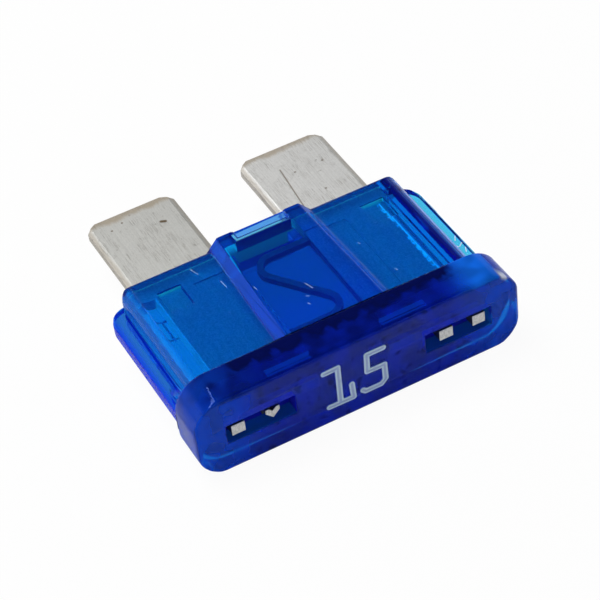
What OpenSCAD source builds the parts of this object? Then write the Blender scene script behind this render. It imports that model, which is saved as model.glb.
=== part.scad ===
// Automotive blade fuse, millimetres.
// A clear coloured moulding closes over one stamped strip of plated zinc alloy.
// The fuse lies on its broad face: X is its width, Y runs from the head to the
// blade tips and Z is its thickness. Two modules, moulding and stamping, are
// drawn with Y from the end face of the head and Z from the mid-plane.

/* [Head] */
// Width of the head
head_w = 19.1; // [18.4:0.05:20]
// Length of the head along the fuse
head_len = 2.3; // [1.8:0.05:3]
// Thickness of the head
head_t = 5.1; // [4.6:0.05:5.8]
// Radius of the head's four long corners
head_corner_r = 1.9; // [0.8:0.05:2.3]
// Radius on the rim of the head's end face
head_rim_r = 0.3; // [0.1:0.05:0.6]

/* [Body] */
// Length of the moulding from the end face to the blade side
body_len = 11.2; // [10.2:0.1:13]
// Width of the body between its side flanges
body_w = 17; // [16.2:0.05:17.6]
// Thickness of the body over the windows
body_t = 3.6; // [3:0.05:4]
// Radius of the body's long edges
body_edge_r = 0.9; // [0.3:0.05:1.1]
// Radius of the body's upright corners at the blade side
body_corner_r = 0.5; // [0.2:0.05:0.9]
// Radius on the rim of the body's blade side
body_rim_r = 0.35; // [0.1:0.05:0.5]

/* [Side flanges] */
// Width over both flanges
flange_w = 18.9; // [18:0.05:19.1]
// Thickness of a flange
flange_t = 0.8; // [0.5:0.05:1.2]
// Radius of a flange's outer corner at the blade side
flange_corner_r = 1.25; // [0.4:0.05:1.4]
// Radius of the hollow blend between a flange and the head
blend_r = 2; // [1:0.05:2.1]
// Reach of that blend beyond the body's side
blend_reach = 0.55; // [0.3:0.05:0.75]
// Length of the gate mark on the right flange
gate_len = 0.8; // [0.4:0.05:1.5]
// Height of the gate mark
gate_rise = 0.1; // [0.05:0.01:0.1]
// Distance of the gate mark from the end face
gate_y = 8.5; // [7:0.1:9]

/* [Raised block] */
// Thickness over the raised block
block_t = 4.9; // [4.3:0.05:5.05]
// Width of the block's top at the blade side
block_top_far_w = 5; // [4.4:0.05:5.4]
// Width of the block's top at the head
block_top_near_w = 5.7; // [5.4:0.05:6.2]
// Angle of the block's sloping sides from upright
block_slope = 40; // [20:1:50]
// Width of the shallow dip in the block's lip
lip_dip_w = 3.1; // [2:0.1:4]
// Depth of that dip
lip_dip = 0.1; // [0.05:0.01:0.2]
// Length of the dip along the fuse
lip_dip_len = 0.7; // [0.4:0.05:1]

/* [Inside of the moulding] */
// Width of the chamber round the link
chamber_w = 4; // [3.6:0.05:4.2]
// Thickness of the chamber
chamber_t = 0.8; // [0.8:0.05:2]
// Distance from the end face to the closed end of the chamber
chamber_y = 2.9; // [2.5:0.05:3.1]
// Width of the wider mouth of the chamber
mouth_w = 3.35; // [3:0.05:4]
// Height of the mouth
mouth_t = 3.8; // [3:0.05:4]
// Depth of the mouth
mouth_depth = 0.7; // [0.4:0.05:1]
// Gap between the strip and each face of its slot
face_gap = 0.03; // [0.02:0.01:0.06]
// Gap between the strip and each edge of its slot
edge_gap = 0.05; // [0.03:0.01:0.1]
// Wall outside a test pocket, to the head's end
pocket_end_wall = 1.75; // [1.6:0.05:2]
// Length of a test pocket across the fuse
pocket_w = 3.95; // [3.8:0.05:4.2]
// Height of a test pocket
pocket_t = 1.2; // [0.9:0.05:1.5]
// Depth of a test pocket
pocket_depth = 0.9; // [0.6:0.05:1.2]

/* [Stake marks] */
// Width of a stake mark
stake_w = 1.35; // [0.8:0.05:1.8]
// Length of a stake mark along the fuse
stake_len = 1.6; // [1:0.05:2]
// Depth of a stake mark
stake_depth = 0.25; // [0.1:0.05:0.4]
// Distance of a stake mark from the blade side
stake_inset = 1.6; // [1.2:0.05:2.2]
// Distance of a stake mark from the line of the blade's outer edge
stake_side = 0.6; // [0.3:0.05:1]

/* [Strip] */
// Length of the whole fuse over the blade tips
fuse_len = 18.5; // [17.8:0.05:19.5]
// Width of one blade
blade_w = 5.35; // [5:0.05:5.45]
// Gap between the blades
blade_gap = 4.25; // [4.2:0.05:4.6]
// Thickness of the strip
strip_t = 0.65; // [0.5:0.01:0.8]
// Corner cut at a blade tip, across the fuse
tip_cut_x = 0.65; // [0.3:0.05:1]
// Corner cut at a blade tip, along the fuse
tip_cut_y = 0.6; // [0.3:0.05:1]
// Width of the coined bevel along a blade's edges
bevel_w = 0.3; // [0.15:0.05:0.5]
// Depth of the coined bevel
bevel_depth = 0.1; // [0.05:0.01:0.2]
// Distance from the end face to the prong ends
prong_inset = 0.15; // [0.05:0.05:0.4]
// Width of the notch between a blade's two prongs
notch_w = 1.2; // [0.8:0.05:1.5]
// Width of the inner prong
inner_prong_w = 0.8; // [0.6:0.05:1]
// Width of the outer prong
outer_prong_w = 0.75; // [0.6:0.05:0.9]
// Depth of the notch
notch_depth = 1.5; // [1:0.05:2]
// Width of the nick in the top of the torn prong's end
torn_w = 0.3; // [0.15:0.05:0.4]
// Length of the torn prong's slanting flanks
torn_len = 0.5; // [0.2:0.05:0.8]
// Distance from the end face to the strip's shoulders
shoulder_y = 1.75; // [1.7:0.05:2]
// Depth of the recess in the strip's outer sides
waist_depth = 0.6; // [0.3:0.05:0.7]
// Distance from the end face to the start of that recess
waist_y = 2.8; // [2.6:0.1:3.4]
// Length of the recess
waist_len = 7.3; // [6:0.1:7.8]
// Width of the strip's thinned middle
thin_w = 9.3; // [9:0.05:9.4]
// Thickness of the thinned middle
thin_t = 0.5; // [0.5:0.01:0.65]
// Distance from the end face to the far edge of the thinned middle
thin_y = 10; // [9.6:0.1:10.6]

/* [Link] */
// Width of the link
link_w = 0.38; // [0.25:0.01:0.5]
// Thickness of the link
link_t = 0.35; // [0.2:0.01:0.5]
// Radius of the link's two bends
link_r = 0.95; // [0.7:0.05:1]
// Distance from the end face to the middle of the link
link_y = 6.6; // [6.2:0.05:7]
// Spacing of the link's two legs
leg_span = 5.9; // [5.2:0.05:6.2]
// Spacing of the two bends across the fuse
bend_span = 0.5; // [0.3:0.05:0.6]

/* [Hidden] */
$fn = 64;
EPS = 0.01;
FAR = 40;
BLADE_IN = blade_gap / 2;
BLADE_OUT = BLADE_IN + blade_w;
BODY_HALF = body_w / 2;
POCKET_OUT = head_w / 2 - pocket_end_wall;
PRONG_SPLIT = BLADE_OUT - outer_prong_w;
INNER_PRONG_OUT = PRONG_SPLIT - notch_w;
INNER_PRONG_IN = INNER_PRONG_OUT - inner_prong_w;
// Plan angle of the block's sides
BLOCK_SPLAY = atan((block_top_near_w - block_top_far_w) / 2 / (body_len - head_len));
// Turn of the link's straight run away from the line between its bends
BEND_RISE = leg_span - 2 * link_r;
BEND_DIST = sqrt(pow(bend_span, 2) + pow(BEND_RISE, 2));
RUN_ANGLE = atan(bend_span / BEND_RISE) + asin(2 * link_r / BEND_DIST);
RUN_LEN = sqrt(pow(BEND_DIST, 2) - pow(2 * link_r, 2));

// Rectangle centred on X, from y0 to y1, with all corners rounded
module round_box_2d(w, y0, y1, r) {
    translate([-w / 2 + r, y0]) square([w - 2 * r, y1 - y0]);
    translate([-w / 2, y0 + r]) square([w, y1 - y0 - 2 * r]);
    for (x = [-w / 2 + r, w / 2 - r], y = [y0 + r, y1 - r])
        translate([x, y]) circle(r);
}

// Runs a profile drawn across X and Z along Y from y0 to y1
module along_y(y0, y1) {
    translate([0, y1, 0]) rotate([90, 0, 0]) linear_extrude(y1 - y0) children();
}

// Runs an outline drawn in plan through a thickness about the mid-plane
module through_z(t) {
    translate([0, 0, -t / 2]) linear_extrude(t) children();
}

// Runs a profile drawn across Y and Z over a width about the centre line
module across_x(w) {
    translate([-w / 2, 0, 0]) rotate([90, 0, 90]) linear_extrude(w) children();
}

// Head: a rounded bar whose end face has a small rim radius
module head() {
    intersection() {
        along_y(0, head_len)
            round_box_2d(head_w, -head_t / 2, head_t / 2, head_corner_r);
        through_z(head_t) round_box_2d(head_w, 0, 2 * head_len, head_rim_r);
        across_x(head_w) translate([head_len, 0])
            round_box_2d(2 * head_len, -head_t / 2, head_t / 2, head_rim_r);
    }
}

// Body: a bar with rounded long edges, upright corners and blade-side rim
module body_bar() {
    intersection() {
        along_y(head_len / 2, body_len)
            round_box_2d(body_w, -body_t / 2, body_t / 2, body_edge_r);
        through_z(body_t) round_box_2d(body_w, -body_len, body_len, body_corner_r);
        across_x(body_w)
            round_box_2d(2 * body_len, -body_t / 2, body_t / 2, body_rim_r);
    }
}

// Thin flange round both sides of the body, with the gate mark on its right
module flange() {
    through_z(flange_t) intersection() {
        round_box_2d(flange_w, -body_len, body_len, flange_corner_r);
        translate([-FAR / 2, head_len / 2]) square([FAR, body_len]);
    }
    translate([flange_w / 2 - EPS, gate_y, -flange_t / 4])
        cube([gate_rise + EPS, gate_len, flange_t / 2]);
}

// Hollow blend that carries each flange up to the head, above and below it
module flange_blend() {
    reach = BODY_HALF + blend_reach;
    top = flange_t / 2 + blend_r;
    intersection() {
        across_x(2 * reach) difference() {
            translate([head_len - EPS, -top]) square([blend_r + EPS, 2 * top]);
            for (face = [-1, 1])
                translate([head_len + blend_r, face * top]) circle(blend_r);
        }
        along_y(0, body_len)
            round_box_2d(2 * reach, -head_t / 2, head_t / 2, head_corner_r);
    }
}

// Raised block over the link: its sides slope and spread towards the head
module block() {
    difference() {
        translate([-block_top_near_w, head_len / 2, -block_t / 2])
            cube([2 * block_top_near_w, body_len - head_len / 2, block_t]);
        for (side = [-1, 1], face = [-1, 1])
            on_side(side, face)
                translate([block_top_far_w / 2, body_len, block_t / 2])
                    rotate([0, 0, BLOCK_SPLAY]) rotate([0, -block_slope, 0])
                        translate([0, -FAR / 2, -FAR / 2]) cube([FAR, FAR, FAR]);
        for (face = [0, 1]) mirror([0, 0, face])
            translate([-lip_dip_w / 2, body_len - lip_dip_len, block_t / 2 - lip_dip])
                cube([lip_dip_w, lip_dip_len + EPS, lip_dip + EPS]);
    }
}

// Mirrors its children to the chosen side and face
module on_side(side, face) {
    mirror([side < 0 ? 1 : 0, 0, 0]) mirror([0, 0, face < 0 ? 1 : 0]) children();
}

// Space inside the moulding: slots that follow the strip and its shoulders, the
// link's chamber, the mouth and the test pockets
module hollows() {
    slot_out = BLADE_OUT + edge_gap;
    through_z(strip_t + 2 * face_gap) {
        translate([-slot_out, chamber_y]) square([2 * slot_out, body_len]);
        for (side = [0, 1]) mirror([side, 0]) polygon([
            [BLADE_IN - edge_gap, shoulder_y - edge_gap], [INNER_PRONG_IN - edge_gap, shoulder_y - edge_gap],
            [INNER_PRONG_IN - edge_gap, pocket_depth - EPS], [slot_out, pocket_depth - EPS],
            [slot_out, chamber_y + EPS], [BLADE_IN - edge_gap, chamber_y + EPS]
        ]);
    }
    through_z(chamber_t)
        translate([-chamber_w / 2, chamber_y]) square([chamber_w, body_len]);
    through_z(mouth_t)
        translate([-mouth_w / 2, body_len - mouth_depth]) square([mouth_w, body_len]);
    for (side = [-1, 1])
        translate([side * (POCKET_OUT - pocket_w / 2), pocket_depth / 2 - EPS / 2, 0])
            cube([pocket_w, pocket_depth + EPS, pocket_t], center = true);
}

// Shallow marks where the moulding is pressed onto the strip
module stake_marks() {
    for (side = [-1, 1], face = [-1, 1])
        translate([side * (BLADE_OUT - stake_side - stake_w / 2),
                   body_len - stake_inset - stake_len / 2, face * body_t / 2])
            cube([stake_w, stake_len, 2 * stake_depth], center = true);
}

module moulding() {
    difference() {
        union() {
            head();
            body_bar();
            flange();
            flange_blend();
            block();
        }
        hollows();
        stake_marks();
    }
}

// Plan outline of the right blade, from its prongs past its recessed outer side to its tip
module blade_plan() {
    difference() {
        polygon([
            [INNER_PRONG_IN, prong_inset], [BLADE_OUT, prong_inset],
            [BLADE_OUT, fuse_len - tip_cut_y], [BLADE_OUT - tip_cut_x, fuse_len],
            [BLADE_IN + tip_cut_x, fuse_len], [BLADE_IN, fuse_len - tip_cut_y],
            [BLADE_IN, shoulder_y], [INNER_PRONG_IN, shoulder_y]
        ]);
        translate([INNER_PRONG_OUT, -EPS])
            square([notch_w, prong_inset + notch_depth - notch_w / 2 + EPS]);
        translate([INNER_PRONG_OUT + notch_w / 2, prong_inset + notch_depth - notch_w / 2])
            circle(notch_w / 2);
        translate([BLADE_OUT - waist_depth, waist_y]) square([waist_depth + EPS, waist_len]);
    }
}

// Right blade of the strip: its plan, cut by the coined bevels of tip and sides
module blade() {
    half = strip_t / 2;
    low = half - bevel_depth;
    mid = (BLADE_IN + BLADE_OUT) / 2;
    bevel_from = body_len + bevel_w;
    intersection() {
        through_z(strip_t) blade_plan();
        translate([mid, 0, 0]) across_x(FAR) polygon([
            [0, -half], [fuse_len - bevel_w, -half], [fuse_len, -low],
            [fuse_len, low], [fuse_len - bevel_w, half], [0, half]
        ]);
        union() {
            translate([mid, 0, 0]) along_y(bevel_from, FAR) polygon([
                [-blade_w / 2, -low], [bevel_w - blade_w / 2, -half], [blade_w / 2 - bevel_w, -half],
                [blade_w / 2, -low], [blade_w / 2, low], [blade_w / 2 - bevel_w, half],
                [bevel_w - blade_w / 2, half], [-blade_w / 2, low]
            ]);
            translate([mid - blade_w, 0, -strip_t]) cube([2 * blade_w, bevel_from, 2 * strip_t]);
        }
    }
}

// One bend of the link, centred on the origin: from its leg round to its run
module link_bend() {
    difference() {
        circle(link_r + link_w / 2);
        circle(link_r - link_w / 2);
        translate([0, -FAR / 2]) square([FAR, FAR]);
        rotate(RUN_ANGLE) translate([-FAR, -FAR]) square([FAR, FAR]);
    }
}

// Half of the link: a leg from a blade, a bend, and half of the slanting run
module half_link() {
    translate([-bend_span / 2, leg_span / 2 - link_r]) {
        translate([0, link_r - link_w / 2]) square([BLADE_IN + bend_span / 2 + link_w, link_w]);
        link_bend();
        rotate(RUN_ANGLE) translate([-link_r - link_w / 2, -RUN_LEN / 2])
            square([link_w, RUN_LEN / 2 + EPS]);
    }
}

// What is torn off the left inner prong's end: a nick in its top and both lower flanks
module prong_tear() {
    translate([-(INNER_PRONG_IN + INNER_PRONG_OUT) / 2, prong_inset, 0]) {
        translate([0, 0, strip_t / 2])
            rotate([0, 45, 0]) cube([torn_w, 2 * torn_w, torn_w], center = true);
        for (side = [0, 1]) mirror([side, 0, 0]) translate([0, 0, -strip_t / 2])
            rotate([0, -45, 0]) translate([0, -EPS, -1]) cube([1, torn_len + EPS, 1]);
    }
}

// The stamped strip: two blades joined by the link, rolled thinner round it
module stamping() {
    difference() {
        union() {
            blade();
            mirror([1, 0, 0]) blade();
            through_z(link_t) translate([0, link_y]) for (turn = [0, 180]) rotate(turn) half_link();
        }
        prong_tear();
        for (face = [0, 1]) mirror([0, 0, face])
            translate([-thin_w / 2, 0, thin_t / 2]) cube([thin_w, thin_y, strip_t]);
    }
}

// Sets a piece down in the part's frame: centred in plan, head on the ground
module in_frame() {
    translate([0, -fuse_len / 2, head_t / 2]) children();
}

module housing() {
    color([0.03, 0.16, 0.75]) in_frame() moulding();
}

module fuse_element() {
    color([0.76, 0.76, 0.74]) in_frame() stamping();
}

housing();
fuse_element();
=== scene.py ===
"""Automotive blade fuse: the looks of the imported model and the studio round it.

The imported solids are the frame, in metres. Sizes below are in millimetres, and
places on the fuse are measured as a maker would: X across, Y from the end face
of the head towards the blade tips, Z up from the mid-plane of the strip.
"""
import logging
import math
from collections.abc import Callable, Iterator, Sequence
from contextlib import contextmanager
from dataclasses import dataclass
from enum import Enum
from typing import ClassVar

import bmesh
import bpy
from mathutils import Matrix, Vector


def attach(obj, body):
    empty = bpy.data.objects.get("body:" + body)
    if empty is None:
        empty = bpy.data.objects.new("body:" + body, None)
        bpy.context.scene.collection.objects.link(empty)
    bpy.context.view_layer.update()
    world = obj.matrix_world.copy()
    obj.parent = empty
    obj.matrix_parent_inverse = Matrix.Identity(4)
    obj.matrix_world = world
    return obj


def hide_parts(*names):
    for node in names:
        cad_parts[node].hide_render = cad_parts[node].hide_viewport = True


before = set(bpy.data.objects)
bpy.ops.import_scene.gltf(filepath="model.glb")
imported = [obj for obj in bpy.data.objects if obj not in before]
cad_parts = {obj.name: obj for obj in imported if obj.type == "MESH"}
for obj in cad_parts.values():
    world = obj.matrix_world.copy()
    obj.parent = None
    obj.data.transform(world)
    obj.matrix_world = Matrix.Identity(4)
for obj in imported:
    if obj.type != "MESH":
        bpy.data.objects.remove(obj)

LOG = logging.getLogger("blade_fuse")
MM = 0.001
BODY = "root"
# The frame's origin seen from the middle of the head's end face
ORIGIN = Vector((0.0, 9.25, -2.55))

Point = tuple[float, float, float]
Flat = tuple[float, float]
Colour = tuple[float, float, float]
Limits = tuple[float, float, float, float]


class Level(Enum):
    """Height above the mid-plane of a surface that carries marks, in mm."""

    WINDOW = 1.8
    BLOCK = 2.45
    FLANGE = 0.4


def place(point: Sequence[float]) -> Vector:
    """Turns a place on the fuse in mm into a place in the frame in metres.

    Args:
        point: X, Y and Z in mm from the end face and the mid-plane.

    Returns:
        The same place in the frame.
    """
    return (Vector(point) - ORIGIN) * MM


class Bench:
    """Shapes meshes with Blender's operators, one object at a time."""

    def take(self, piece: bpy.types.Object) -> None:
        """Makes one object the only one selected, and active."""
        bpy.ops.object.select_all(action="DESELECT")
        piece.select_set(True)
        bpy.context.view_layer.objects.active = piece

    @contextmanager
    def editing(self, piece: bpy.types.Object, whole: bool = False) -> Iterator[None]:
        """Opens an object in edit mode.

        Args:
            piece: The object to open.
            whole: Whether all of it starts selected, rather than nothing.
        """
        self.take(piece)
        bpy.ops.object.mode_set(mode="EDIT")
        bpy.ops.mesh.select_all(action="SELECT" if whole else "DESELECT")
        yield
        bpy.ops.object.mode_set(mode="OBJECT")

    def pick_verts(self, piece: bpy.types.Object, test: Callable[[Vector], bool]) -> None:
        """Selects the vertices of the open object whose place passes a test."""
        bpy.ops.mesh.select_mode(type="VERT")
        cage = bmesh.from_edit_mesh(piece.data)
        for vert in cage.verts:
            vert.select = test(vert.co)
        cage.select_flush_mode()
        bmesh.update_edit_mesh(piece.data)

    def pick_edges(self, piece: bpy.types.Object, test: Callable[[Vector, float], bool]) -> int:
        """Selects the edges of the open object whose middle and fold pass a test.

        Args:
            piece: The object that is open in edit mode.
            test: Takes an edge's middle and the angle between its faces in degrees.

        Returns:
            How many edges were selected.
        """
        bpy.ops.mesh.select_mode(type="EDGE")
        cage = bmesh.from_edit_mesh(piece.data)
        for edge in cage.edges:
            middle = (edge.verts[0].co + edge.verts[1].co) / 2
            edge.select = test(middle, math.degrees(edge.calc_face_angle(0.0)))
        bmesh.update_edit_mesh(piece.data)
        return sum(edge.select for edge in cage.edges)

    def settle(self, piece: bpy.types.Object) -> None:
        """Moves an object's place, turn and scale into its mesh."""
        self.take(piece)
        bpy.ops.object.transform_apply(location=True, rotation=True, scale=True)

    def apply(self, piece: bpy.types.Object, kind: str, **settings: object) -> None:
        """Adds a modifier with its settings and applies it."""
        self.take(piece)
        modifier = piece.modifiers.new(kind.lower(), kind)
        for key, value in settings.items():
            setattr(modifier, key, value)
        bpy.ops.object.modifier_apply(modifier=modifier.name)

    def smooth(self, piece: bpy.types.Object, angle: float) -> None:
        """Shades an object smooth, except over folds sharper than an angle in degrees."""
        self.take(piece)
        bpy.ops.object.shade_smooth_by_angle(angle=math.radians(angle))

    def join(self, pieces: Sequence[bpy.types.Object]) -> bpy.types.Object:
        """Fuses overlapping solids into the first of them and returns it."""
        base, *others = pieces
        for other in others:
            self.combine(base, other, "UNION")
        return base

    def combine(self, base: bpy.types.Object, other: bpy.types.Object, operation: str) -> None:
        """Adds another solid to a base, or cuts it out, and clears it away.

        Args:
            base: The solid that is kept.
            other: The solid that is used up.
            operation: UNION or DIFFERENCE.
        """
        self.apply(base, "BOOLEAN", operation=operation, solver="EXACT", object=other)
        bpy.data.objects.remove(other)

    def rod(self, start: Flat, end: Flat, width: float, rise: float, sides: int = 20) -> bpy.types.Object:
        """Models a flat bar with round ends, lying on the plane Z = 0.

        Args:
            start: Middle of its first end, in mm.
            end: Middle of its other end, in mm.
            width: Width in mm.
            rise: Height in mm.
            sides: Sides of the cylinder that it is drawn out from.

        Returns:
            The bar.
        """
        run = Vector(end) - Vector(start)
        bpy.ops.mesh.primitive_cylinder_add(
            vertices=sides, radius=width / 2 * MM, depth=rise * MM, location=(0, 0, rise / 2 * MM))
        bar = bpy.context.object
        self.settle(bar)
        with self.editing(bar):
            self.pick_verts(bar, lambda at: at.x > -1e-9)
            bpy.ops.transform.translate(value=(run.length * MM, 0, 0))
        bar.rotation_euler.z = math.atan2(run.y, run.x)
        bar.location = (start[0] * MM, start[1] * MM, 0)
        self.settle(bar)
        return bar


BENCH = Bench()


class Value:
    """A number that varies over a surface: a shader socket that takes arithmetic."""

    def __init__(self, finish: "Recipe", socket: bpy.types.NodeSocket) -> None:
        """Wraps an output socket of a recipe's node."""
        self.finish = finish
        self.socket = socket

    def _math(self, operation: str, *values: "Value | float") -> "Value":
        """Adds one Math node and returns its result."""
        sockets = dict(enumerate(values))
        return self.finish.value("ShaderNodeMath", sockets, operation=operation)

    def __add__(self, other: "Value | float") -> "Value":
        """Returns the sum."""
        return self._math("ADD", self, other)

    def __sub__(self, other: "Value | float") -> "Value":
        """Returns the difference."""
        return self._math("SUBTRACT", self, other)

    def __rsub__(self, other: float) -> "Value":
        """Returns a plain number less this value."""
        return self._math("SUBTRACT", other, self)

    def __mul__(self, other: "Value | float") -> "Value":
        """Returns the product."""
        return self._math("MULTIPLY", self, other)

    def __truediv__(self, other: "Value | float") -> "Value":
        """Returns the quotient."""
        return self._math("DIVIDE", self, other)

    __radd__ = __add__
    __rmul__ = __mul__

    def __abs__(self) -> "Value":
        """Returns the value without its sign."""
        return self._math("ABSOLUTE", self)

    def most(self, other: "Value | float") -> "Value":
        """Returns the greater of two values."""
        return self._math("MAXIMUM", self, other)

    def least(self, other: "Value | float") -> "Value":
        """Returns the lesser of two values."""
        return self._math("MINIMUM", self, other)

    def root(self) -> "Value":
        """Returns the square root."""
        return self._math("SQRT", self)

    def step(self, low: float, high: float, out_low: float = 0.0, out_high: float = 1.0) -> "Value":
        """Maps a range smoothly onto another.

        Args:
            low: Value that gives out_low.
            high: Value that gives out_high.
            out_low: Result at and below low.
            out_high: Result at and above high.

        Returns:
            The mapped value.
        """
        if low > high:
            low, high, out_low, out_high = high, low, out_high, out_low
        sockets = {"Value": self, "From Min": low, "From Max": high, "To Min": out_low, "To Max": out_high}
        return self.finish.value("ShaderNodeMapRange", sockets, interpolation_type="SMOOTHSTEP")

    def band(self, start: float, full: float, fall: float, end: float) -> "Value":
        """Returns 1 between two soft limits and 0 beyond them.

        Args:
            start: Where it starts to rise from 0.
            full: Where it has reached 1.
            fall: Where it starts to fall.
            end: Where it is back at 0.

        Returns:
            The mask.
        """
        return self.step(start, full) * self.step(end, fall)


class Recipe:
    """Builds one node tree, for a material or for the world."""

    def __init__(self, tree: bpy.types.NodeTree) -> None:
        """Starts from an empty tree."""
        self.tree = tree
        tree.nodes.clear()

    def node(self, kind: str, sockets: dict[str | int, object] | None = None,
             **settings: object) -> bpy.types.Node:
        """Adds a node.

        Args:
            kind: The node's type.
            sockets: Values or links for its inputs, by name or number.
            **settings: Its own settings, such as a Math node's operation, set first.

        Returns:
            The node.
        """
        node = self.tree.nodes.new(kind)
        for key, setting in settings.items():
            setattr(node, key, setting)
        for key, value in (sockets or {}).items():
            if isinstance(value, Value):
                value = value.socket
            if isinstance(value, bpy.types.NodeSocket):
                self.tree.links.new(value, node.inputs[key])
            elif isinstance(value, tuple) and node.inputs[key].type == "RGBA":
                node.inputs[key].default_value = (*value, 1.0)
            else:
                node.inputs[key].default_value = value
        return node

    def value(self, kind: str, sockets: dict[str | int, object], **settings: object) -> Value:
        """Adds a node and wraps its first output."""
        return Value(self, self.node(kind, sockets, **settings).outputs[0])

    def axes(self) -> tuple[Value, Value, Value]:
        """Returns X, Y and Z on the fuse in mm, from the end face and the mid-plane."""
        coords = self.node("ShaderNodeTexCoord").outputs["Object"]
        parts = self.node("ShaderNodeSeparateXYZ", {0: coords})
        x, y, z = (Value(self, parts.outputs[i]) * (1 / MM) + ORIGIN[i] for i in range(3))
        return x, y, z

    def join_axes(self, x: "Value | float", y: "Value | float", z: "Value | float") -> bpy.types.NodeSocket:
        """Returns a vector from three values."""
        return self.node("ShaderNodeCombineXYZ", {0: x, 1: y, 2: z}).outputs[0]

    def noise(self, at: bpy.types.NodeSocket, scale: float, detail: float = 2.0, rough: float = 0.5) -> Value:
        """Returns noise from about 0 to 1.

        Args:
            at: Where on the surface.
            scale: Features for each unit of at.
            detail: Octaves of finer noise.
            rough: Strength of the finer octaves.

        Returns:
            The noise.
        """
        sockets = {"Vector": at, "Scale": scale, "Detail": detail, "Roughness": rough}
        return self.value("ShaderNodeTexNoise", sockets)

    def blend(self, amount: "Value | float", first: object, second: object) -> bpy.types.NodeSocket:
        """Mixes two colours by an amount."""
        node = self.node("ShaderNodeMix", {0: amount}, data_type="RGBA")
        for key, colour in ((6, first), (7, second)):
            if isinstance(colour, bpy.types.NodeSocket):
                self.tree.links.new(colour, node.inputs[key])
            else:
                node.inputs[key].default_value = (*colour, 1.0)
        return node.outputs[2]

    def near(self, x: Value, y: Value, start: Flat, end: Flat, reach: float, soft: float) -> Value:
        """Returns 1 close to a short straight mark and 0 away from it.

        Args:
            x: First coordinate in mm.
            y: Second coordinate in mm.
            start: One end of the mark.
            end: Its other end.
            reach: Half of the mark's width in mm.
            soft: Width of its soft rim in mm.

        Returns:
            The mask.
        """
        run = Vector(end) - Vector(start)
        length2 = max(run.length_squared, 1e-6)
        dx, dy = x - start[0], y - start[1]
        along = ((dx * run.x + dy * run.y) / length2).most(0.0).least(1.0)
        ax, ay = dx - along * run.x, dy - along * run.y
        return (ax * ax + ay * ay).root().step(reach + soft, reach)

    def bump(self, height: Value, depth: float) -> bpy.types.NodeSocket:
        """Turns a height from 0 to 1 into a normal.

        Args:
            height: The surface's height.
            depth: What a height of 1 stands for, in mm.

        Returns:
            The normal.
        """
        sockets = {"Height": height, "Distance": depth * MM, "Strength": 1.0}
        return self.node("ShaderNodeBump", sockets).outputs[0]

    def finish_with(self, surface: bpy.types.NodeSocket, volume: bpy.types.NodeSocket | None = None) -> None:
        """Ends the tree with a surface and, where given, a volume."""
        sockets: dict[str | int, object] = {"Surface": surface}
        if volume is not None:
            sockets["Volume"] = volume
        self.node("ShaderNodeOutputMaterial", sockets)


def new_recipe(name: str) -> tuple[bpy.types.Material, Recipe]:
    """Starts a material.

    Args:
        name: Name of the material.

    Returns:
        The material and its recipe.
    """
    material = bpy.data.materials.new(name)
    material.use_nodes = True
    return material, Recipe(material.node_tree)


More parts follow.
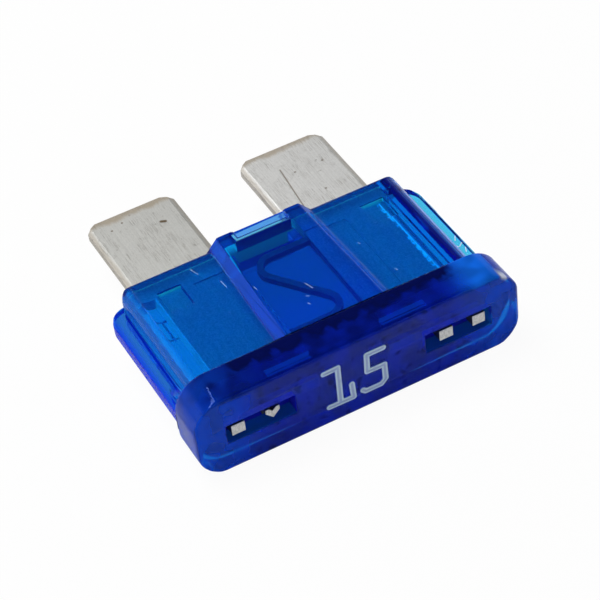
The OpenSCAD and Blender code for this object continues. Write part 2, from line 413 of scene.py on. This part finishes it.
@dataclass(frozen=True)
class ClearPlastic:
    """Translucent dyed polycarbonate of the moulding, with painted glow, painted shade and a painted
    highlight in its haze.

    The places are soft limits in mm. A pair is where a mask is 0 and where it is 1, and
    four values are where it starts, is full, starts to fall and has ended. A clouded
    strength is its least value and what the clouds add.
    """

    dye: Colour = (0.0, 0.853, 0.991)
    density: float = 2700.0
    bend: float = 1.58
    gloss: float = 0.05
    sheen_tint: Colour = (0.14, 0.26, 0.75)
    deep: Colour = (0.004, 0.035, 0.95)
    lit: Colour = (0.01, 0.24, 1.0)
    shade: Colour = (0.003, 0.010, 0.20)
    pocket_shade: Colour = (0.010, 0.016, 0.55)
    highlight: Colour = (0.75, 0.8, 0.95)

    haze: float = 0.10
    # The left wall's, the slopes', the head ends' and the right end's strengths below are painted glow; the
    # left flange's is painted shade.
    left_wall_glow: float = 0.30
    slope_glow: float = 0.34
    block_haze: float = 0.1
    ends_glow: float = 0.18
    left_flange_shade: Flat = (0.48, 0.20)
    head_haze: Flat = (0.03, 0.12)
    face_haze: Flat = (0.12, 0.08)
    right_end_glow: Flat = (0.42, 0.25)
    left_end_dark: Flat = (0.05, 0.18)

    head: Flat = (2.6, 2.2)
    head_top: Flat = (2.2, 2.4)
    head_middle: Flat = (7.0, 6.0)
    head_ends: Flat = (4.8, 8.2)
    right_end: Flat = (5.2, 7.4)
    left_end: Flat = (-4.5, -6.5)
    left_end_top: Flat = (2.0, 2.4)
    far_border: Flat = (1.0, 2.1)
    end_face: Flat = (0.12, 0.02)
    # Where the painted highlight sits on the head's right corner.
    corner: tuple[Flat, Flat] = ((8.62, 2.30), (8.78, 2.16))
    corner_depth: Flat = (1.0, 0.2)
    left_wall: Flat = (-7.8, -8.1)
    left_wall_foot: Flat = (0.42, 0.6)
    right_wall: Limits = (7.6, 7.7, 7.92, 8.02)
    right_wall_foot: Flat = (0.42, 0.5)
    left_flange: Flat = (-8.25, -8.4)
    flange_width: Flat = (-9.35, -8.9)
    flange_height: Flat = (0.5, 0.45)
    block_slope: Limits = (1.83, 1.95, 2.38, 2.43)
    block_top: Flat = (2.38, 2.43)
    block_near: Flat = (5.5, 3.0)
    pocket_depth: Limits = (0.0, 0.1, 1.0, 1.1)
    pocket_width: Limits = (3.4, 3.6, 8.0, 8.1)
    pocket_height: Flat = (0.75, 0.65)
    rim_height: Limits = (1.35, 1.5, 1.82, 1.84)
    rim_end: Flat = (10.75, 10.95)
    mouth_wall: Limits = (10.44, 10.48, 10.52, 10.56)
    mouth_width: Flat = (1.8, 1.7)
    mouth_height: Flat = (1.95, 1.9)

    def _haze(self, mix: Recipe, x: Value, y: Value, z: Value) -> tuple[Value, bpy.types.NodeSocket]:
        """Returns how milky the plastic looks from place to place, and the colour of that.

        The head is milkier in clouds, and the block's top a little milkier. Painted glow lightens the sloping
        sides of the block, the body's left wall and the head's ends, palest at its right end. Painted shade
        darkens the left flange, the pockets, the mouth, the rim at the blade side, the right wall, a ragged
        band and blotches on the head and its left end. A painted highlight sits on the head's right corner.
        """
        across, height = abs(x), abs(z)
        cloud = mix.noise(mix.join_axes(x, y, z), 0.8, 1.2, 0.5).step(0.36, 0.66)
        ragged = (mix.noise(mix.join_axes(x, y * 0.6, z), 1.5, 2.0, 0.6) - 0.5) * 2.6

        head, face = y.step(*self.head), y.step(*self.end_face)
        body = 1.0 - head
        ends = across.step(*self.head_ends) * head
        middle = across.step(*self.head_middle)
        top = z.step(*self.head_top) * head
        right_end = x.step(*self.right_end) * top
        left_end = x.step(*self.left_end) * z.step(*self.left_end_top) * head
        # Painted shade: a ragged band along the head's far top edge and blotches on its end face.
        border_shade = (y + ragged).step(*self.far_border) * middle * top
        blotch_shade = ragged.step(0.10, 0.50) * middle * face
        # Painted highlight on the head's right corner.
        glint = mix.near(x, z, *self.corner, 0.03, 0.22) * y.step(*self.corner_depth)

        # Painted glow on the left wall; painted shade on the right wall and on the left flange.
        left_wall = x.step(*self.left_wall) * height.step(*self.left_wall_foot) * body
        right_wall = x.band(*self.right_wall) * height.step(*self.right_wall_foot) * body
        flange = x.step(*self.left_flange) * height.step(*self.flange_height) * body
        flange = flange * x.step(*self.flange_width, *self.left_flange_shade)
        slope = height.band(*self.block_slope) * body
        block = height.step(*self.block_top) * y.step(*self.block_near) * body

        pocket = y.band(*self.pocket_depth) * across.band(*self.pocket_width)
        pocket = pocket * height.step(*self.pocket_height)
        rim = height.band(*self.rim_height) * y.step(*self.rim_end)
        mouth = y.band(*self.mouth_wall) * across.step(*self.mouth_width) * height.step(*self.mouth_height)

        def clouded(strength: Flat) -> Value:
            """Returns a strength that rises with the clouds."""
            return cloud * strength[1] + strength[0]

        # Milkiness, with painted glow on the head's ends and right end, the left wall and the slopes, and
        # painted shade on the left flange.
        haze_glow_and_shade = head * clouded(self.head_haze) + face * clouded(self.face_haze) + ends * self.ends_glow
        haze_glow_and_shade = haze_glow_and_shade.most(flange).most(right_end * clouded(self.right_end_glow))
        for zone, strength in ((left_wall, self.left_wall_glow), (slope, self.slope_glow),
                               (block, self.block_haze)):
            haze_glow_and_shade = haze_glow_and_shade.most(zone * strength)

        # Painted shade: the head's left end, the pockets, the mouth, the rim, the right wall and ragged parts
        # of the head.
        dark = left_end * clouded(self.left_end_dark)
        for zone, strength in ((pocket, 0.9), (rim, 0.6), (mouth, 0.75), (right_wall, 0.75),
                               (border_shade, 0.36), (blotch_shade, 0.24)):
            dark = dark.most(zone * strength)

        # Painted glow takes the lit colour on the left wall, the slopes and the head's ends.
        pale = left_wall
        for zone, strength in ((slope, 0.5), (ends, 0.3), (right_end, 0.7)):
            pale = pale.most(zone * strength)
        in_pocket = pocket.step(0.0, 0.2)
        colour = mix.blend(pale, self.deep, self.lit)
        colour = mix.blend(in_pocket, colour, self.pocket_shade)
        colour = mix.blend(dark.step(0.0, 0.3) * (1.0 - in_pocket), colour, self.shade)
        colour = mix.blend(glint, colour, self.highlight)
        return (haze_glow_and_shade + self.haze).most(dark).most(glint * 0.8), colour

    def build(self) -> bpy.types.Material:
        """Returns the material: dyed clear plastic with a faint haze in it, carrying painted glow, painted
        shade and a painted highlight.
        """
        material, mix = new_recipe("clear_plastic")
        x, y, z = mix.axes()
        at = mix.join_axes(x, y, z)
        ripple = mix.noise(at, 0.35, 1.0)
        grain = mix.noise(at, 2.6, 3.0, 0.6)
        wear = grain.step(0.52, 0.75)
        normal = mix.bump(ripple * 0.8 + grain * 0.2, 0.02)
        clear = mix.node("ShaderNodeBsdfPrincipled", {
            "Base Color": (1.0, 1.0, 1.0), "Roughness": self.gloss + wear * 0.06,
            "IOR": self.bend, "Transmission Weight": 1.0, "Specular Tint": self.sheen_tint,
            "Normal": normal})
        amount, colour = self._haze(mix, x, y, z)
        haze = mix.node("ShaderNodeBsdfPrincipled", {
            "Base Color": colour, "Roughness": 0.5, "IOR": self.bend, "Specular IOR Level": 0.0})
        surface = mix.node("ShaderNodeMixShader", {0: amount, 1: clear.outputs[0], 2: haze.outputs[0]})
        dye = mix.node("ShaderNodeVolumeAbsorption", {"Color": self.dye, "Density": self.density})
        mix.finish_with(surface.outputs[0], dye.outputs[0])
        return material


@dataclass(frozen=True)
class PlatedMetal:
    """Satin plating of the strip, dull and scratched where it stands out of the moulding, with painted light
    and shade: the right blade painted lighter, the strip inside the head and the thin link painted darker,
    and a painted glow along its outer sides.

    The places are soft limits in mm, as on the plastic.
    """

    bright: Colour = (0.82, 0.82, 0.81)
    dull: Colour = (0.63, 0.63, 0.605)
    streaked: Colour = (0.42, 0.41, 0.38)
    grainy: Colour = (0.30, 0.32, 0.32)
    scored: Colour = (0.24, 0.22, 0.19)
    tarnish: Colour = (0.36, 0.29, 0.20)
    stain: Colour = (0.13, 0.09, 0.05)
    # Painted shade on the strip inside the head and on the thin link.
    shaded: Colour = (0.02, 0.025, 0.06)
    link_shade: Colour = (0.10, 0.30, 0.22)
    unlit: Colour = (0.0, 0.0, 0.0)
    edge_glow: Colour = (0.12, 0.68, 1.1)
    inside_metallic: float = 0.15

    blade_in: float = 2.125
    blade_out: float = 7.475
    length: float = 18.5
    plastic_end: Flat = (11.1, 11.3)
    # Side on which the right blade is painted lighter and the glow line is ragged.
    right_blade: Flat = (0.0, 1.0)
    prong_sides: Limits = (0.16, 0.19, 2.5, 3.1)
    link: Flat = (2.15, 2.10)
    glow_run: Limits = (2.8, 3.0, 10.0, 10.2)
    glow_line: Limits = (6.78, 6.82, 6.90, 6.95)
    ragged_line: Limits = (6.62, 6.72, 6.90, 6.95)

    smear: tuple[Flat, Flat] = ((-3.60, 16.44), (-3.40, 16.34))
    long_score: tuple[Flat, Flat] = ((3.99, 16.55), (3.61, 12.83))
    dots: tuple[Flat, ...] = ((-5.5, 17.6), (-6.26, 17.3), (6.39, 15.94), (5.4, 13.66), (4.62, 15.9))

    def _spots(self, mix: Recipe, x: Value, y: Value) -> Value:
        """Returns a mask of the stains and of the long score on the blades."""
        spots = mix.near(x, y, *self.smear, 0.05, 0.10)
        for dot in self.dots:
            spots = spots.most(mix.near(x, y, dot, dot, 0.03, 0.07) * 0.8)
        return spots.most(mix.near(x, y, *self.long_score, 0.012, 0.05) * 0.75)

    def _glow(self, mix: Recipe, x: Value, y: Value, at: bpy.types.NodeSocket,
              streaks: Value) -> bpy.types.NodeSocket:
        """Returns the light along the strip's outer sides, ragged on the right."""
        run = y.band(*self.glow_run)
        line = abs(x).band(*self.glow_line) * run
        line = line * ((0.35 + streaks.step(0.3, 0.6) * 0.65) * x.step(-1.0, 1.0, 1.0, 2.2))
        speckle = mix.noise(at, 5.0, 1.0, 0.5).step(0.50, 0.62)
        ragged = abs(x).band(*self.ragged_line) * run * x.step(*self.right_blade) * speckle
        return mix.blend((line * 0.45).most(ragged).least(1.0), self.unlit, self.edge_glow)

    def build(self) -> bpy.types.Material:
        """Returns the material with its tarnished rims, scratches and spots, its painted light and shade, and
        its painted glow.
        """
        material, mix = new_recipe("plated_metal")
        x, y, z = mix.axes()
        at = mix.join_axes(x, y, z)
        across = abs(x)
        open_air = y.step(*self.plastic_end)
        streaks = mix.noise(mix.join_axes(x * 9.0, y * 0.35, z * 3.0), 1.0, 3.0, 0.65)
        scratches = mix.noise(mix.join_axes(x * 30.0, y * 0.9, z * 3.0), 1.0, 2.0, 0.6)
        clouds = mix.noise(at, 0.8, 3.0, 0.6)
        pits = mix.noise(at, 3.2, 2.0, 0.5)
        grain = mix.noise(at, 11.0, 1.0, 0.5).step(0.38, 0.62)
        ragged = (clouds - 0.5) * 0.4 + (streaks - 0.5) * 0.3
        side = (across - self.blade_in).least(self.blade_out - across) + ragged * 0.6
        tip = (self.length - y) * 0.6 + ragged
        brown = side.step(0.30, 0.1, 0.0, 0.55).most(tip.step(0.44, 0.18)) * open_air
        scores = scratches.step(0.52, 0.62) * clouds.step(0.42, 0.56) * open_air
        specks = pits.step(0.66, 0.76) * open_air
        spots = self._spots(mix, x, y)

        shade = mix.blend(open_air, self.bright, self.dull)
        for amount, tint in (
                # Painted light: the right blade lighter than the left.
                (open_air * x.step(*self.right_blade) * 0.85, self.bright),
                (streaks.step(0.35, 0.7) * 0.22, self.streaked),
                (brown * 0.75, self.tarnish),
                ((scores * 0.40).most(specks * 0.5), self.scored),
                (grain * (0.34 - open_air * 0.24), self.grainy),
                (spots, self.stain),
                # Painted shade on the strip inside the head and on the thin link.
                (y.band(*self.prong_sides), self.shaded),
                (across.step(*self.link) * (1.0 - open_air), self.link_shade)):
            shade = mix.blend(amount, shade, tint)

        height = streaks * 0.5 + scratches * 0.4 + pits * 0.3 - scores * 0.3 - spots * 0.3
        metallic = open_air.step(0.0, 1.0, self.inside_metallic, 1.0) - brown * 0.5 - spots * 0.5
        metal = mix.node("ShaderNodeBsdfPrincipled", {
            "Base Color": shade, "Metallic": metallic,
            "Roughness": 0.5 + streaks * 0.14 + brown * 0.12,
            "Emission Color": self._glow(mix, x, y, at, streaks), "Emission Strength": 1.0,
            "Normal": mix.bump(height, 0.012)})
        mix.finish_with(metal.outputs[0])
        return material


@dataclass(frozen=True)
class StampedInk:
    """Pale ink of the rating number, darker along the pressed-in middle of its strokes and in worn patches.
    """

    pale: Colour = (0.56, 0.72, 0.86)
    groove_and_wear: Colour = (0.26, 0.36, 0.66)
    groove: Flat = (-0.035, -0.012)

    def build(self) -> bpy.types.Material:
        """Returns the material."""
        material, mix = new_recipe("stamped_ink")
        x, y, z = mix.axes()
        wear = mix.noise(mix.join_axes(x, y, z), 2.2, 3.0, 0.6)
        low = y.step(*self.groove)
        shade = mix.blend(low.most(wear.step(0.55, 0.75) * 0.6), self.pale, self.groove_and_wear)
        ink = mix.node("ShaderNodeBsdfPrincipled", {"Base Color": shade, "Roughness": 0.45})
        mix.finish_with(ink.outputs[0])
        return material


@dataclass(frozen=True)
class RaisedBurr:
    """Torn white edge of a scratch in the plastic."""

    pale: Colour = (0.20, 0.40, 0.75)
    white: Colour = (0.7, 0.82, 0.95)
    on_flange: Colour = (0.85, 0.9, 0.93)
    flange_height: Flat = (1.0, 0.9)

    def build(self) -> bpy.types.Material:
        """Returns the material."""
        material, mix = new_recipe("raised_burr")
        x, y, z = mix.axes()
        grit = mix.noise(mix.join_axes(x, y, z), 9.0, 2.0)
        shade = mix.blend(grit.step(0.4, 0.7), self.pale, self.white)
        shade = mix.blend(z.step(*self.flange_height) * 0.8, shade, self.on_flange)
        burr = mix.node("ShaderNodeBsdfPrincipled", {"Base Color": shade, "Roughness": 0.6})
        mix.finish_with(burr.outputs[0])
        return material


@dataclass
class Moulding:
    """The one-piece housing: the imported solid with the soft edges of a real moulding."""

    node: str = "housing"
    slot: str = "blue_plastic"
    edge_radius: float = 0.10
    sharp: float = 35.0
    hollow_half_w: float = 7.7
    hollow_half_t: float = 1.795
    corner_half_t: float = 0.5
    corner_from: float = 10.6
    finish: ClearPlastic = ClearPlastic()

    def _is_outer(self, middle: Vector, fold: float) -> bool:
        """Tells whether an edge is sharp and on the outside of the moulding."""
        at = middle / MM + ORIGIN
        inside = abs(at.z) < self.hollow_half_t and abs(at.x) < self.hollow_half_w and at.y > 0.01
        corner = abs(at.z) < self.corner_half_t and at.y > self.corner_from
        return fold > self.sharp and not inside and not corner

    def build(self) -> bpy.types.Object:
        """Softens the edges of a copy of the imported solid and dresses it.

        Returns:
            The moulding.
        """
        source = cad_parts[self.node]
        shell = bpy.data.objects.new("clear_moulding", source.data.copy())
        bpy.context.scene.collection.objects.link(shell)
        with BENCH.editing(shell, whole=True):
            bpy.ops.mesh.remove_doubles(threshold=1e-6)
            bpy.ops.mesh.customdata_custom_splitnormals_clear()
            bpy.ops.mesh.dissolve_limited(angle_limit=math.radians(0.5))
            picked = BENCH.pick_edges(shell, self._is_outer)
            bpy.ops.mesh.bevel(offset=self.edge_radius * MM, segments=3, profile=0.5, clamp_overlap=False)
        BENCH.smooth(shell, self.sharp)
        BENCH.apply(shell, "WEIGHTED_NORMAL", keep_sharp=True)
        shell.data.materials.clear()
        shell.data.materials.append(self.finish.build())
        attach(shell, BODY)
        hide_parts(self.node)
        LOG.info("moulding: %d edges softened, %d faces", picked, len(shell.data.polygons))
        return shell


@dataclass
class Strip:
    """The stamped strip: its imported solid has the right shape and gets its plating."""

    node: str = "fuse_element"
    finish: PlatedMetal = PlatedMetal()

    def build(self) -> bpy.types.Object:
        """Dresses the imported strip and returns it."""
        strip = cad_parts[self.node]
        strip.data.materials.clear()
        strip.data.materials.append(self.finish.build())
        LOG.info("strip: %d faces", len(strip.data.polygons))
        return strip


@dataclass
class RatingNumber:
    """The rating on the head's end face: raised strokes with their middles pressed in."""

    stroke: float = 0.33
    rise: float = 0.05
    groove: float = 0.03
    rim: float = 0.09
    finish: StampedInk = StampedInk()

    ONE: ClassVar[tuple[tuple[Flat, ...], ...]] = (
        ((-2.16, 1.22), (-1.35, 1.24), (-1.39, -1.2)), ((-2.06, -1.24), (-0.62, -1.26), (-0.66, -0.32)))
    FIVE: ClassVar[tuple[tuple[Flat, ...], ...]] = (
        ((1.32, 1.22), (0.34, 1.22), (0.29, 0.06), (1.30, 0.03), (1.30, -0.98), (1.02, -1.24), (0.1, -1.24),
         (-0.06, -1.1)),)

    def _digit(self, name: str, lines: tuple[tuple[Flat, ...], ...]) -> bpy.types.Object:
        """Models one digit from its strokes.

        Args:
            name: Name of the digit's object.
            lines: The middles of its strokes, as X and Z on the end face in mm.

        Returns:
            The digit, standing on the end face.
        """
        spans = [(a, b) for line in lines for a, b in zip(line, line[1:])]
        digit = BENCH.join([BENCH.rod(a, b, self.stroke, 2 * self.rise) for a, b in spans])
        groove = BENCH.join([BENCH.rod(a, b, self.stroke - 2 * self.rim, self.rise, 12) for a, b in spans])
        groove.location.z = (2 * self.rise - self.groove) * MM
        BENCH.settle(groove)
        BENCH.combine(digit, groove, "DIFFERENCE")
        digit.name = digit.data.name = name
        digit.rotation_euler.x = math.radians(90)
        digit.location = place((0, self.rise, 0))
        BENCH.settle(digit)
        return digit

    def build(self) -> list[bpy.types.Object]:
        """Models both digits, dresses them and returns them."""
        ink = self.finish.build()
        digits = [self._digit("rating_one", self.ONE), self._digit("rating_five", self.FIVE)]
        for digit in digits:
            digit.data.materials.append(ink)
            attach(digit, BODY)
            LOG.info("%s: %d faces", digit.name, len(digit.data.polygons))
        return digits


@dataclass
class Scratches:
    """Marks of use on the moulding: short scratches whose torn edges show white."""

    width: float = 0.032
    flange_width: float = 0.055
    rise: float = 0.006
    finish: RaisedBurr = RaisedBurr()

    MARKS: ClassVar[tuple[tuple[Level, Flat, Flat], ...]] = (
        (Level.WINDOW, (-4.56, 10.39), (-4.38, 9.79)), (Level.WINDOW, (-3.6, 8.6), (-3.55, 8.0)),
        (Level.WINDOW, (3.93, 7.15), (3.97, 6.97)), (Level.WINDOW, (-3.64, 3.24), (-3.62, 3.14)),
        (Level.WINDOW, (4.54, 4.25), (4.61, 4.05)), (Level.WINDOW, (-4.32, 6.22), (-4.28, 6.14)),
        (Level.BLOCK, (-2.61, 6.55), (-2.55, 6.29)), (Level.BLOCK, (-0.24, 5.3), (-0.07, 4.72)),
        (Level.BLOCK, (-0.66, 4.39), (-0.49, 4.28)), (Level.BLOCK, (-0.83, 3.87), (-0.74, 3.7)),
        (Level.FLANGE, (8.83, 6.09), (8.76, 5.72)), (Level.FLANGE, (8.77, 5.5), (8.92, 5.16)),
        (Level.FLANGE, (8.98, 5.14), (9.25, 5.36)), (Level.FLANGE, (9.22, 6.01), (9.04, 5.7)),
        (Level.FLANGE, (9.22, 4.92), (9.08, 4.6)),
    )

    def build(self) -> bpy.types.Object:
        """Models all the scratches as one piece and returns it."""
        bars = []
        for level, start, end in self.MARKS:
            width = self.flange_width if level is Level.FLANGE else self.width
            bar = BENCH.rod(start, end, width, 2 * self.rise, 10)
            bar.location = place((0, 0, level.value - self.rise))
            BENCH.settle(bar)
            bars.append(bar)
        BENCH.take(bars[0])
        for bar in bars:
            bar.select_set(True)
        bpy.ops.object.join()
        burrs = bpy.context.object
        burrs.name = burrs.data.name = "scratch_burrs"
        burrs.data.materials.append(self.finish.build())
        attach(burrs, BODY)
        LOG.info("scratches: %d", len(bars))
        return burrs


@dataclass
class Studio:
    """Floor, light and camera.

    Seen through the plastic, the floor carries painted shadows: it is darker under the middle of the fuse,
    under the head, beside its left side, between the blades and under the block, in soft limits in mm as on
    the plastic. Sizes of the floor, the key light and the camera's clipping are in metres.
    """

    floor_size: float = 0.8
    floor_shade: float = 0.88
    sink: float = 0.02
    shadow: float = 0.05
    # Floor lightness seen through the plastic under the fuse and beside it, and the places of the painted
    # shadows:
    through: float = 0.68
    beside: float = 0.9
    mirrored: float = 0.1
    middle: float = 0.4
    sides: Flat = (4.5, 6.6)
    past_blades: Flat = (12.5, 14.0)
    past_head: Flat = (-0.3, -1.0)
    under_head: Limits = (-1.0, -0.3, 2.5, 5.5)
    under_head_width: Flat = (9.0, 7.5)
    left_strip: Limits = (-12.0, -10.5, -7.8, -6.8)
    left_strip_from: Flat = (3.0, 4.0)
    blade_gap: Limits = (-3.0, -2.4, 3.4, 4.2)
    blade_gap_run: Limits = (11.0, 11.4, 13.5, 14.5)
    under_block: Limits = (2.5, 3.5, 10.5, 11.0)
    under_block_width: Flat = (4.0, 3.0)

    ambient: float = 0.75
    dim: float = 0.06
    horizon: Flat = (0.25, 0.60)
    horizon_through: Flat = (0.45, 0.8)
    key_size: float = 0.16
    key_power: float = 0.55
    key_at: Point = (-0.06, 0.06, 0.24)

    turn: float = -22.946
    tilt: float = 42.903
    roll: float = -7.754
    aim: Point = (0.0, 9.0, 0.0)
    distance: float = 120.339
    slide: Flat = (1.046, -1.307)
    focus_px: float = 2224.993
    picture_px: float = 600.0
    film_mm: float = 36.0
    clip: Flat = (0.005, 5.0)
    bounces: int = 24

    def _painted_floor_light(self, mix: Recipe) -> Value:
        """Returns how light the floor is when it is seen through the plastic, with painted shadows under and
        beside the fuse.
        """
        x, y, _ = mix.axes()
        # Painted shadow: darker under the middle of the fuse than beside it and past its ends.
        beside = abs(x - self.middle).step(*self.sides)
        beside = beside.most(y.step(*self.past_blades)).most(y.step(*self.past_head))
        lit = beside * (self.beside - self.through) + self.through
        under_head = y.band(*self.under_head) * abs(x).step(*self.under_head_width)
        left_strip = x.band(*self.left_strip) * y.step(*self.left_strip_from)
        blade_gap = x.band(*self.blade_gap) * y.band(*self.blade_gap_run)
        under_block = y.band(*self.under_block) * abs(x).step(*self.under_block_width)
        # Painted shadows under the head, beside the left side, between the blades and under the block.
        for zone, strength in ((under_head, 0.55), (left_strip, 0.55), (blade_gap, 0.8), (under_block, 0.35)):
            lit = lit * (1.0 - zone * strength)
        return lit

    def floor(self) -> None:
        """Lays a pale floor that shows white and keeps the fuse's shadow, with painted shadows where it is
        seen through the plastic.
        """
        bpy.ops.mesh.primitive_plane_add(size=self.floor_size, location=(0, 0, -self.sink * MM))
        floor = bpy.context.object
        floor.name = floor.data.name = "floor"
        material, mix = new_recipe("pale_floor")
        rays = mix.node("ShaderNodeLightPath")
        seen = Value(mix, rays.outputs["Is Camera Ray"])
        bent = Value(mix, rays.outputs["Is Transmission Ray"])
        mirrored = Value(mix, rays.outputs["Is Glossy Ray"]) * self.mirrored
        paper = mix.node("ShaderNodeBsdfDiffuse", {"Color": (self.floor_shade,) * 3})
        white = mix.node("ShaderNodeEmission", {"Strength": 1.0})
        # Seen through the plastic, the floor mixes white with black by its painted lightness.
        dark = mix.node("ShaderNodeEmission", {"Strength": 0.0})
        shown = mix.node("ShaderNodeMixShader", {
            0: bent * (1.0 - self._painted_floor_light(mix)), 1: white.outputs[0], 2: dark.outputs[0]})
        bare = (seen * (1.0 - self.shadow)).most(bent).most(mirrored)
        surface = mix.node("ShaderNodeMixShader", {0: bare, 1: paper.outputs[0], 2: shown.outputs[0]})
        mix.finish_with(surface.outputs[0])
        floor.data.materials.append(material)

    def world(self) -> None:
        """Sets a bright horizon under a dim ceiling, and white behind the fuse."""
        world = bpy.data.worlds.new("studio")
        bpy.context.scene.world = world
        world.use_nodes = True
        mix = Recipe(world.node_tree)
        coords = mix.node("ShaderNodeTexCoord").outputs["Generated"]
        up = Value(mix, mix.node("ShaderNodeSeparateXYZ", {0: coords}).outputs[2])
        rays = mix.node("ShaderNodeLightPath")
        seen = Value(mix, rays.outputs["Is Camera Ray"])
        bent = Value(mix, rays.outputs["Is Transmission Ray"])
        light = up.step(*self.horizon, self.ambient, self.dim)
        light = light.most(bent * up.step(*self.horizon_through, self.beside, self.dim))
        glow = mix.node("ShaderNodeBackground", {"Color": (1.0, 1.0, 1.0), "Strength": light.most(seen)})
        mix.node("ShaderNodeOutputWorld", {"Surface": glow.outputs[0]})

    def lamps(self) -> None:
        """Hangs the soft key light above and behind the fuse."""
        key = bpy.data.lights.new("key_light", "AREA")
        key.shape = "DISK"
        key.size = self.key_size
        key.energy = self.key_power
        lamp = bpy.data.objects.new("key_light", key)
        bpy.context.scene.collection.objects.link(lamp)
        lamp.location = self.key_at
        lamp.rotation_euler = (-Vector(self.key_at)).to_track_quat("-Z", "Y").to_euler()

    def camera(self) -> None:
        """Sets the camera where the photograph was taken from.

        The turn, tilt and roll are in degrees, and the aim, slide and distance in mm.
        """
        turn, tilt, roll = (math.radians(a) for a in (self.turn, self.tilt, self.roll))
        flat_right = Vector((math.cos(turn), math.sin(turn), 0))
        flat_ahead = Vector((-math.sin(turn), math.cos(turn), 0))
        up = Vector((0, 0, 1))
        ahead = flat_ahead * math.cos(tilt) - up * math.sin(tilt)
        rise = flat_ahead * math.sin(tilt) + up * math.cos(tilt)
        right = flat_right * math.cos(roll) + rise * math.sin(roll)
        top = -flat_right * math.sin(roll) + rise * math.cos(roll)
        across, along = self.slide
        at = place(Vector(self.aim) + right * across + top * along - ahead * self.distance)
        camera = bpy.data.objects.new("camera", bpy.data.cameras.new("camera"))
        bpy.context.scene.collection.objects.link(camera)
        camera.data.sensor_width = self.film_mm
        camera.data.lens = self.focus_px / self.picture_px * self.film_mm
        camera.data.clip_start, camera.data.clip_end = self.clip
        camera.matrix_world = Matrix.Translation(at) @ Matrix((right, top, -ahead)).transposed().to_4x4()
        bpy.context.scene.camera = camera

    def build(self) -> None:
        """Builds the whole studio."""
        scene = bpy.context.scene
        scene.view_settings.view_transform = "Standard"
        scene.cycles.max_bounces = scene.cycles.transmission_bounces = self.bounces
        self.floor()
        self.world()
        self.lamps()
        self.camera()
        LOG.info("studio: ready")


def main() -> None:
    """Builds the fuse and its studio."""
    logging.basicConfig(level=logging.INFO, format="%(name)s: %(message)s")
    bpy.ops.object.select_all(action="DESELECT")
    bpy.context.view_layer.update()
    Moulding().build()
    Strip().build()
    RatingNumber().build()
    Scratches().build()
    Studio().build()


if __name__ == "__main__":
    main()
